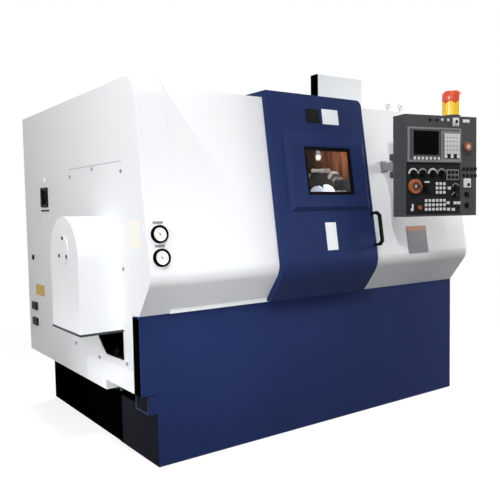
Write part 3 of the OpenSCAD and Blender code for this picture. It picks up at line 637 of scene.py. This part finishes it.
def make_back_details():
    """Louvres and latch of the cabinet's door, painted shade in its slots and round its edge, and the
    bolted covers of the back.
    """
    door = on_back(*BACK_DOOR, CABINET_BACK)
    cover_face = on_back(*BACK_COVER, CABINET_BACK)
    fan = on_back(*COOLER_MIDDLE, COOLER_BACK)

    def louvres(shape):
        face = -CABINET_BACK
        for z in LOUVRE_FEET:
            profile = [(face, z), (face - 5, z), (face - 5, z + 2), (face, z + 15)]
            add_sheet(shape, profile, LOUVRE_LENGTH)

    louvre_end = on_left(0, 0, SIDE_X - BACK_DOOR[0] - LOUVRE_LENGTH / 2)
    piece_from("door_louvres", louvres, louvre_end, WHITE, "rear_door", 0.5)

    # Dark strips under the louvres: painted shade in the slots behind them
    def slot_shade(shape):
        for z in LOUVRE_FEET:
            add_block(shape, (LOUVRE_LENGTH - 12, 4, 0.8), (0, z - 2 - BACK_DOOR[1], 0.4))

    piece_from("louvre_slot_shade", slot_shade, door, BLACK, "rear_door", 0.2)

    # A dark line round three sides of the cabinet's door: painted shade of the gap round it
    def gap_shade(shape):
        for z in (-433, 433):
            add_block(shape, (812, 5, 1), (0, z, 0.5))
        add_block(shape, (5, 861, 1), (-403.5, 0, 0.5))

    piece_from("door_gap_shade", gap_shade, door, RUBBER, "machine", 0.3)

    def latch(shape):
        outline = []
        for i in range(24):
            angle = math.tau * (i + 0.5) / 24
            half = 28 if math.sin(angle) > 0 else -28
            outline.append((22 * math.cos(angle), 22 * math.sin(angle) + half))
        add_sheet(shape, outline, 2.5)

    piece_from("latch_plate", latch, on_back(846, 1130, CABINET_BACK),
               BLACK_PLASTIC, "rear_door", 0.8)

    def cover(shape):
        add_block(shape, (880, 860, 3), (0, 0, 1.5))
        for side in (-1, 1):
            add_block(shape, (180, 700, 2), (side * 280, 0, 4))

    piece_from("back_cover", cover, cover_face, WHITE, "machine", 1.5)

    def screws(shape):
        for x in (-424, 0, 424):
            for z in (-414, 0, 414):
                if x or z:
                    add_round(shape, 8, 1.2, (x, z, 3), 24)
                    add_round(shape, 6, 1.6, (x, z, 4.2), 6, 5)

    piece_from("back_screws", screws, cover_face, DIM_KEYS, "machine", 0.2)

    def glands(shape):
        add_block(shape, (520, 130, 2), (0, 0, 1))
        for i in range(6):
            x = 84 * (i - 2.5)
            add_round(shape, 24, 2, (x, 0, 2), 6)
            add_round(shape, 17, 1.8, (x, 0, 4), 24, 14)

    piece_from("gland_plate", glands, on_back(480, 470, CABINET_BACK),
               PLATE_GREY, "machine", 0.5)

    def guard(shape):
        for outer in (118, 94, 70, 46, 22):
            add_ring(shape, outer, outer - 6, 5, (0, 0, 1), steps=40)
        for angle in (45, 135, 225, 315):
            c, s = math.cos(math.radians(angle)), math.sin(math.radians(angle))
            add_sheet(shape, [(18 * c - 3 * s, 18 * s + 3 * c), (18 * c + 3 * s, 18 * s - 3 * c),
                              (128 * c + 3 * s, 128 * s - 3 * c), (128 * c - 3 * s, 128 * s + 3 * c)], 4)

    piece_from("fan_guard", guard, fan, DARK_STEEL, "machine", 0.6)
    # A black disc behind the fan guard: painted shade in the fan's opening
    disc("fan_opening_shade", fan, 112, 0.8, BLACK, "machine", 48)


# Modules in the cabinet, from the middle of its door: heights of the rows, places along them
DUCT_HEIGHTS = (360, 130, -110, -350)
BREAKER_HEIGHT = 246
BREAKER_PITCH = 52
DRIVE_PLACES = (-205, 0, 205)
CONTACTOR_HEIGHT = -230
CONTACTOR_PLACES = [72 * (i - 3.5) for i in range(8)]


def make_cabinet_inside():
    """Mounting plate, wire ducts and modules behind the cabinet's door."""
    def on_wall(name, build, material, soft):
        piece_from(name, build, on_back(*BACK_DOOR, CABINET_WALL), material, "machine", soft)

    def backing(shape):
        add_block(shape, (740, 800, 3), (0, 0, 1.5))
        for x in (-352, 352):
            for z in (-384, 384):
                add_round(shape, 9, 4, (x, z, 3), 6)

    on_wall("cabinet_plate", backing, BEZEL_GREY, 0.8)

    def ducts(shape):
        for z in DUCT_HEIGHTS:
            add_block(shape, (640, 40, 55), (0, z, 30.5))
            for i in range(31):
                add_block(shape, (6, 44, 50), (20 * (i - 15), z, 28))
        for x in (-342, 342):
            add_block(shape, (40, 760, 55), (x, 5, 30.5))

    on_wall("cabinet_ducts", ducts, DIM_KEYS, 1)

    def breakers(shape):
        for i in range(11):
            x = BREAKER_PITCH * (i - 5)
            add_block(shape, (44, 92, 52), (x, BREAKER_HEIGHT, 29))
            add_block(shape, (44, 46, 24), (x, BREAKER_HEIGHT, 67))

    on_wall("cabinet_breakers", breakers, LIGHT_KEYS, 1.5)

    def drives(shape):
        for x in DRIVE_PLACES:
            add_block(shape, (176, 176, 150), (x, 10, 78))
            for i in range(7):
                add_block(shape, (150, 6, 4), (x, 22 - 14 * i, 155))

    on_wall("cabinet_drives", drives, PANEL_GREY, 3)

    def contactors(shape):
        for x in CONTACTOR_PLACES:
            add_block(shape, (58, 96, 66), (x, CONTACTOR_HEIGHT, 36))
            add_block(shape, (50, 48, 26), (x, CONTACTOR_HEIGHT, 82))
        # Toggles, which stand at the gaps between the breakers
        for i in range(8):
            add_block(shape, (10, 18, 10), (BREAKER_PITCH * (i - 3.5), BREAKER_HEIGHT, 84))

    on_wall("cabinet_contactors", contactors, BLACK_PLASTIC, 2)

    def fronts(shape):
        for x in DRIVE_PLACES:
            add_block(shape, (110, 34, 4), (x, 66, 155))
        for x in CONTACTOR_PLACES:
            add_block(shape, (40, 12, 3), (x, CONTACTOR_HEIGHT + 30, 95.5))

    on_wall("cabinet_fronts", fronts, PLATE_WHITE, 1)


# Places of the four dials along the panel, and their height
DIAL_PLACES = (40, 98, 160, 216)
DIAL_Z = 215
# Fields of keys as the frame has them: left, foot, columns, rows, pitches and cap size
KEY_FIELDS = (
    (229, 295, 5, 6, 20, 21, 18.6, 19.6),
    (172, 110, 3, 3, 23, 22, 15.5, 14.5),
    (104, 25, 6, 3, 23, 22, 15.5, 14.5),
)
# Middles of the keys that stand alone, and how far the keys stand out
LONE_KEYS = ((263, 142), (255, 67), (301, 66), (324, 66), (258, 34), (289, 33))
KEY_TOP = 5
CAP_THICK = 1.6
# Thickness of the dark lower sheet, on which the lower controls stand
LOWER_SHEET = 0.6
# Toothed rim of the beacon: its middle, its radii, its steps and the steps of one tooth
BEACON = (1619, -244, 1606)
RIM_RADII = (47.4, 48.6)
RIM_STEPS = 48
TOOTH_STEPS = 8


def make_panel_details():
    """Scales, keys, strips and blank plates on the operator panel's face."""
    def on_face(name, build, x, z, out, material, soft=0.4):
        piece_from(name, build, on_panel(x, z, out), material, "panel", soft)

    for name, places, material in (("dial_scales", DIAL_PLACES[::2], LIGHT_KEYS),
                                   ("dial_scales_dim", DIAL_PLACES[1::2], DIM_KEYS)):
        def scales(shape):
            for x in places:
                add_ring(shape, 29, 21, 0.8, (x, 0, 0), 0, 180, 24)

        on_face(name, scales, 0, DIAL_Z, LOWER_SHEET, material, 0.1)

    def caps(shape):
        for left, foot, columns, rows, pitch_x, pitch_z, wide, tall in KEY_FIELDS:
            for i in range(columns):
                for j in range(rows):
                    # The lowest row of the first field has two gaps
                    if columns == 5 and j == 0 and i in (1, 3):
                        continue
                    middle = (left + pitch_x * (i + 0.5), foot + pitch_z * (j + 0.5), CAP_THICK / 2)
                    add_block(shape, (wide, tall, CAP_THICK), middle)
        for x, z in LONE_KEYS:
            add_block(shape, (17, 15, KEY_TOP + CAP_THICK), (x, z, (CAP_THICK - KEY_TOP) / 2))

    on_face("key_caps", caps, 0, 0, KEY_TOP, LIGHT_KEYS, 1)

    def bezel(shape):
        add_frame(shape, (6, 274), (338, 448), 9, 5, 4)
        add_block(shape, (330, 172, 0.8), (172, 361, 0.4))

    on_face("panel_bezel", bezel, 0, 0, 0, BEZEL_GREY)
    plate("panel_strip", on_panel(166, 266), 334, 7, 2, BLACK_PLASTIC, "panel")
    plate("panel_lower", on_panel(166, 136), 336, 254, LOWER_SHEET,
          PANEL_DARK, "panel", 0.1)

    def mode(shape):
        add_block(shape, (46, 52, 6), (0, 0, 3))
        add_round(shape, 17, 12, (0, -4, 6), 32, 14)

    on_face("mode_block", mode, 125, 142, LOWER_SHEET, BLACK_PLASTIC, 1)
    plate("mode_mark", on_panel(125, 174, LOWER_SHEET), 30, 8, 2, LIGHT_KEYS, "panel")

    def soft_keys(shape):
        for i in range(7):
            add_block(shape, (13, 14, 3), (46 + 24.8 * i, 0, 1.5))

    on_face("soft_keys", soft_keys, 0, 293, 4, LIGHT_KEYS, 0.8)

    def switch_grid(shape):
        for i in range(3):
            for j in range(2):
                add_block(shape, (17, 17, 5), (263 + 24 * i, 199 + 25 * j, 2.5))

    plate("switch_field", on_panel(287, 211, LOWER_SHEET), 80, 54, 0.8,
          DIM_KEYS, "panel", 0.1)
    on_face("switch_grid", switch_grid, 0, 0, 1.4, BLACK_PLASTIC, 1)

    def small_knobs(shape):
        add_round(shape, 15, 13, (306, 145, 0), 32, 13)
        add_round(shape, 10, 10, (298, 103, 0), 24, 8)
        add_block(shape, (6, 24, 8), (298, 108, 12))

    on_face("small_knobs", small_knobs, 0, 0, LOWER_SHEET, BLACK_PLASTIC, 0.8)

    def small_scale(shape):
        add_ring(shape, 24, 18, 0.8, (306, 145, 0), 10, 170, 20)
        add_ring(shape, 18, 13, 0.8, (298, 103, 0), 10, 170, 20)

    on_face("small_scales", small_scale, 0, 0, LOWER_SHEET, DIM_KEYS, 0.1)

    def toggle(shape):
        add_round(shape, 9, 4, (0, -8, 0), 24)
        add_block(shape, (8, 34, 7), (-1, 4, 7.5))

    on_face("toggle_lever", toggle, 32, 43, LOWER_SHEET, LIGHT_KEYS, 1.5)

    def dark_squares(shape):
        for i in range(4):
            for j in range(2):
                add_block(shape, (15, 15, 5), (358 + 25.5 * i, 207 + 35 * j, 2.5))

    on_face("dark_squares", dark_squares, 0, 0, 0, BLACK_PLASTIC, 1)

    plate("white_socket", on_panel(379, 168), 46, 48, 7, LIGHT_KEYS, "panel", 3)
    # A black disc on the socket: painted shade in its hole
    disc("socket_hole_shade", on_panel(386, 160, 7), 9, 1, BLACK_PLASTIC, "panel")

    def button(shape):
        add_ring(shape, 15, 11, 3, (0, 0, 0))
        add_round(shape, 11, 9, (0, 0, 0), 32, 10)

    on_face("lower_button", button, 380, 53, 0, BLACK_PLASTIC, 0.5)
    on_face("hold_ring", lambda s: add_ring(s, 15, 11.5, 3, (0, 0, 0)), 379, 110, 0,
            BLACK_PLASTIC)

    def lock(shape):
        add_block(shape, (40, 42, 3), (0, 0, 1.5))
        add_ring(shape, 15, 9, 5, (0, 0, 3))

    on_face("key_lock", lock, 306, 481, 0, LIGHT_KEYS, 1)
    disc("key_lock_core", on_panel(306, 481, 3), 9, 5, BLACK_PLASTIC, "panel")
    plate("panel_label", on_panel(374, 488), 44, 16, 1, PLATE_WHITE, "panel")

    def marks(places):
        def build(shape):
            for x in places:
                add_round(shape, 8, 3, (x, 0, 0), 24, 7)
        return build

    on_face("panel_marks_dark", marks((143, 186)), 0, 486, 0, BLACK_PLASTIC)
    on_face("panel_marks_light", marks((220, 258)), 0, 489, 0, LIGHT_KEYS)

    def teeth(shape):
        inner, outer = RIM_RADII
        rows = []
        for i in range(RIM_STEPS):
            angle = math.radians(360 / RIM_STEPS * i)
            rise = 1 + 13 * (1 - abs(2 * ((i % TOOTH_STEPS) / TOOTH_STEPS) - 1))
            rows.append([shape.verts.new((r * math.cos(angle), r * math.sin(angle), z))
                         for r, z in ((inner, -2), (outer, -2), (outer, rise), (inner, rise))])
        close_rows(shape, rows)

    piece_from("beacon_teeth", teeth, on_floor(*BEACON), AMBER, "panel", 0)
    on_face("stop_ring", lambda s: add_ring(s, 31, 26, 2, (0, 0, 0)), 373, 355, 0,
            PLATE_GREY)


# Block on the turret's face: its outline, depth counted towards the front, and the face it stands on
BLOCK_OUTLINE = ((-486, 1112), (-415, 1112), (-398, 1140), (-401, 1172), (-424, 1203), (-462, 1219),
                 (-486, 1219))
BLOCK_FACE = 1402
# The work lamp's place, the roof above it and the height of its head
LAMP_PLACE = (1222, 350)
LAMP_TOP = 1581
LAMP_HEAD_HEIGHT = 1354


def make_inside():
    """Sheets round the work area, the turret's block and the work lamp, seen through the window."""
    def sheets(shape):
        add_block(shape, (1500, 2, 905), (1176, 1056, 1128))
        add_block(shape, (2, 860, 620), (1927, 626, 1270))

    piece_from("splash_sheets", sheets, on_floor(), SPLASH, "machine", 0.5)

    turret_face = on_left(0, 0, SIDE_X - BLOCK_FACE)
    piece_from("turret_block", lambda s: add_sheet(s, BLOCK_OUTLINE, 24), turret_face,
               PAINTED_SHEEN_STEEL, "turret", 4)

    def lamp_arm(shape):
        add_round(shape, 30, 6, (0, 0, 0), 32)
        add_round(shape, 8, 170, (0, 0, -165), 24)
        add_round(shape, 17, 40, (0, 0, -204), 32, 13)

    piece_from("lamp_arm", lamp_arm, on_floor(*LAMP_PLACE, LAMP_TOP),
               PANEL_DARK, "machine", 1)

    def lamp_head(shape):
        add_round(shape, 16, 22, (0, 0, 0), 32)
        add_round(shape, 12, 8, (0, 0, -7), 32, 15.5)

    piece_from("lamp_head", lamp_head, on_floor(*LAMP_PLACE, LAMP_HEAD_HEIGHT),
               LAMP_HEAD_PAINTED_GLOW, "machine", 2)


def seen_rays(tree):
    """One where a camera, glossy or transmitted ray looks, else zero."""
    path = tree.nodes.new("ShaderNodeLightPath")
    value = path.outputs["Is Camera Ray"]
    for name in ("Is Glossy Ray", "Is Transmission Ray"):
        value = combined(tree, "MAXIMUM", value, path.outputs[name])
    return value


def joined(tree, kind, first, second, factor=None):
    """Two shaders mixed or added."""
    made = tree.nodes.new(kind)
    if factor is not None:
        tree.links.new(factor, made.inputs[0])
    tree.links.new(first, made.inputs[-2])
    tree.links.new(second, made.inputs[-1])
    return made.outputs[0]


def light_of(tree, kind, strength):
    """A white emission or background of a strength."""
    made = tree.nodes.new(kind)
    made.inputs["Color"].default_value = (1, 1, 1, 1)
    made.inputs["Strength"].default_value = strength
    return made.outputs[0]


def matt(tree, share):
    """A matt grey that throws back a share of the light."""
    made = tree.nodes.new("ShaderNodeBsdfDiffuse")
    made.inputs["Color"].default_value = (share, share, share, 1)
    return made.outputs[0]


# Strength of the surround's light, the floor's own light near the machine, and the shares of light that
# the floor throws back to the eye and to the machine
AMBIENT = 0.15
FLOOR_GLOW = 0.75
FLOOR_MATT = 0.4
FLOOR_BOUNCE = 0.15
# Lamps: name, place, aim, size in metres, power in watts and spread in degrees
LAMPS = (
    ("front lamp", (-1.53, -3.5, 4.64), (0.3, -0.5, 1.0), 0.5, 112, 180),
    ("camera side lamp", (-2.6, -3.4, 2.4), (-0.3, 0, 1.0), 1.0, 18, 180),
    ("left lamp", (-2.8, -1.3, 2.1), (-0.8, -0.2, 1.2), 1.0, 37, 180),
    ("rear left lamp", (-3.5, 0.8, 2.4), (-0.8, 0.2, 1.0), 1.0, 13, 180),
    ("back lamp", (2.4, 3.6, 3.4), (0.1, 0.9, 0.9), 0.6, 21, 60),
    ("right lamp", (3.5, -1.5, 1.8), (0.6, 0, 1.0), 1.0, 100, 180),
    ("high lamp", (0.5, -2.95, 5.5), (0.3, -0.5, 1.0), 0.25, 28, 180),
    ("low lamp", (-2.2, -3.6, 0.5), (-0.5, -0.65, 0.7), 0.5, 1.8, 30),
    ("skirt lamp", (-2.6, -1.1, 0.2), (-0.9, -0.2, 0.36), 0.5, 0.6, 26),
    ("work lamp", (0.27, -0.335, 1.45), (0.85, 0.15, 1.25), 0.2, 7, 180),
)
# How far from the middle the floor begins to fade into the white surround, and where it ends
FLOOR_FADE = (1.7, 3.2)


def make_floor_and_light():
    """A pale floor that keeps the shadow, a white surround and soft studio lamps."""
    bpy.ops.mesh.primitive_plane_add(size=60, location=(0, 0, -0.001))
    floor = bpy.context.object
    floor.name = "floor"
    material = bpy.data.materials.new("floor")
    material.use_nodes = True
    tree = material.node_tree
    tree.nodes.clear()
    out = tree.nodes.new("ShaderNodeOutputMaterial")
    reach = tree.nodes.new("ShaderNodeVectorMath")
    reach.operation = "LENGTH"
    tree.links.new(object_place(tree), reach.inputs[0])
    far = ranged(tree, reach.outputs["Value"], *FLOOR_FADE, 0.0, 1.0)
    glow = light_of(tree, "ShaderNodeEmission", FLOOR_GLOW)
    near = joined(tree, "ShaderNodeAddShader", glow, matt(tree, FLOOR_MATT))
    seen = joined(tree, "ShaderNodeMixShader", near, light_of(tree, "ShaderNodeEmission", 1.0), far)
    both = joined(tree, "ShaderNodeMixShader", matt(tree, FLOOR_BOUNCE), seen, seen_rays(tree))
    tree.links.new(both, out.inputs[0])
    floor.data.materials.append(material)

    world = bpy.data.worlds.new("surround")
    bpy.context.scene.world = world
    world.use_nodes = True
    tree = world.node_tree
    tree.nodes.clear()
    out = tree.nodes.new("ShaderNodeOutputWorld")
    dim = light_of(tree, "ShaderNodeBackground", AMBIENT)
    bright = light_of(tree, "ShaderNodeBackground", 1.0)
    tree.links.new(joined(tree, "ShaderNodeMixShader", dim, bright, seen_rays(tree)), out.inputs[0])

    for name, place, target, size, power, spread in LAMPS:
        lamp = bpy.data.lights.new(name, "AREA")
        lamp.shape = "DISK"
        lamp.size = size
        lamp.energy = power
        lamp.spread = math.radians(spread)
        holder = bpy.data.objects.new(name, lamp)
        holder.location = place
        holder.rotation_euler = (Vector(target) - Vector(place)).to_track_quat("-Z", "Y").to_euler()
        bpy.context.scene.collection.objects.link(holder)


# The photograph's camera, from the base's corner in millimetres, and its angles in degrees
CAMERA_PLACE = (-1192.7, -2347.5, 1080)
CAMERA_HEADING = 35.56
CAMERA_PITCH = -3.67
CAMERA_ROLL = -1.03
CAMERA_FOCAL_PIXELS = 634
IMAGE_PIXELS = 500
SENSOR = 36


def make_camera():
    """The camera at the photograph's place, heading and roll."""
    data = bpy.data.cameras.new("camera")
    data.sensor_width = SENSOR
    data.sensor_fit = "HORIZONTAL"
    data.lens = SENSOR * CAMERA_FOCAL_PIXELS / IMAGE_PIXELS
    data.clip_end = 200
    camera = bpy.data.objects.new("camera", data)
    heading = Matrix.Rotation(math.radians(-CAMERA_HEADING), 4, "Z")
    pitch = Matrix.Rotation(math.radians(90 + CAMERA_PITCH), 4, "X")
    roll = Matrix.Rotation(math.radians(CAMERA_ROLL), 4, "Z")
    camera.matrix_world = Matrix.Translation(at(*CAMERA_PLACE)) @ heading @ pitch @ roll
    bpy.context.scene.collection.objects.link(camera)
    bpy.context.scene.camera = camera


dress_nodes()
make_gauges()
make_plates()
make_side_details()
make_back_details()
make_cabinet_inside()
make_panel_details()
make_inside()
make_floor_and_light()
make_camera()
bpy.context.scene.view_settings.view_transform = "Standard"
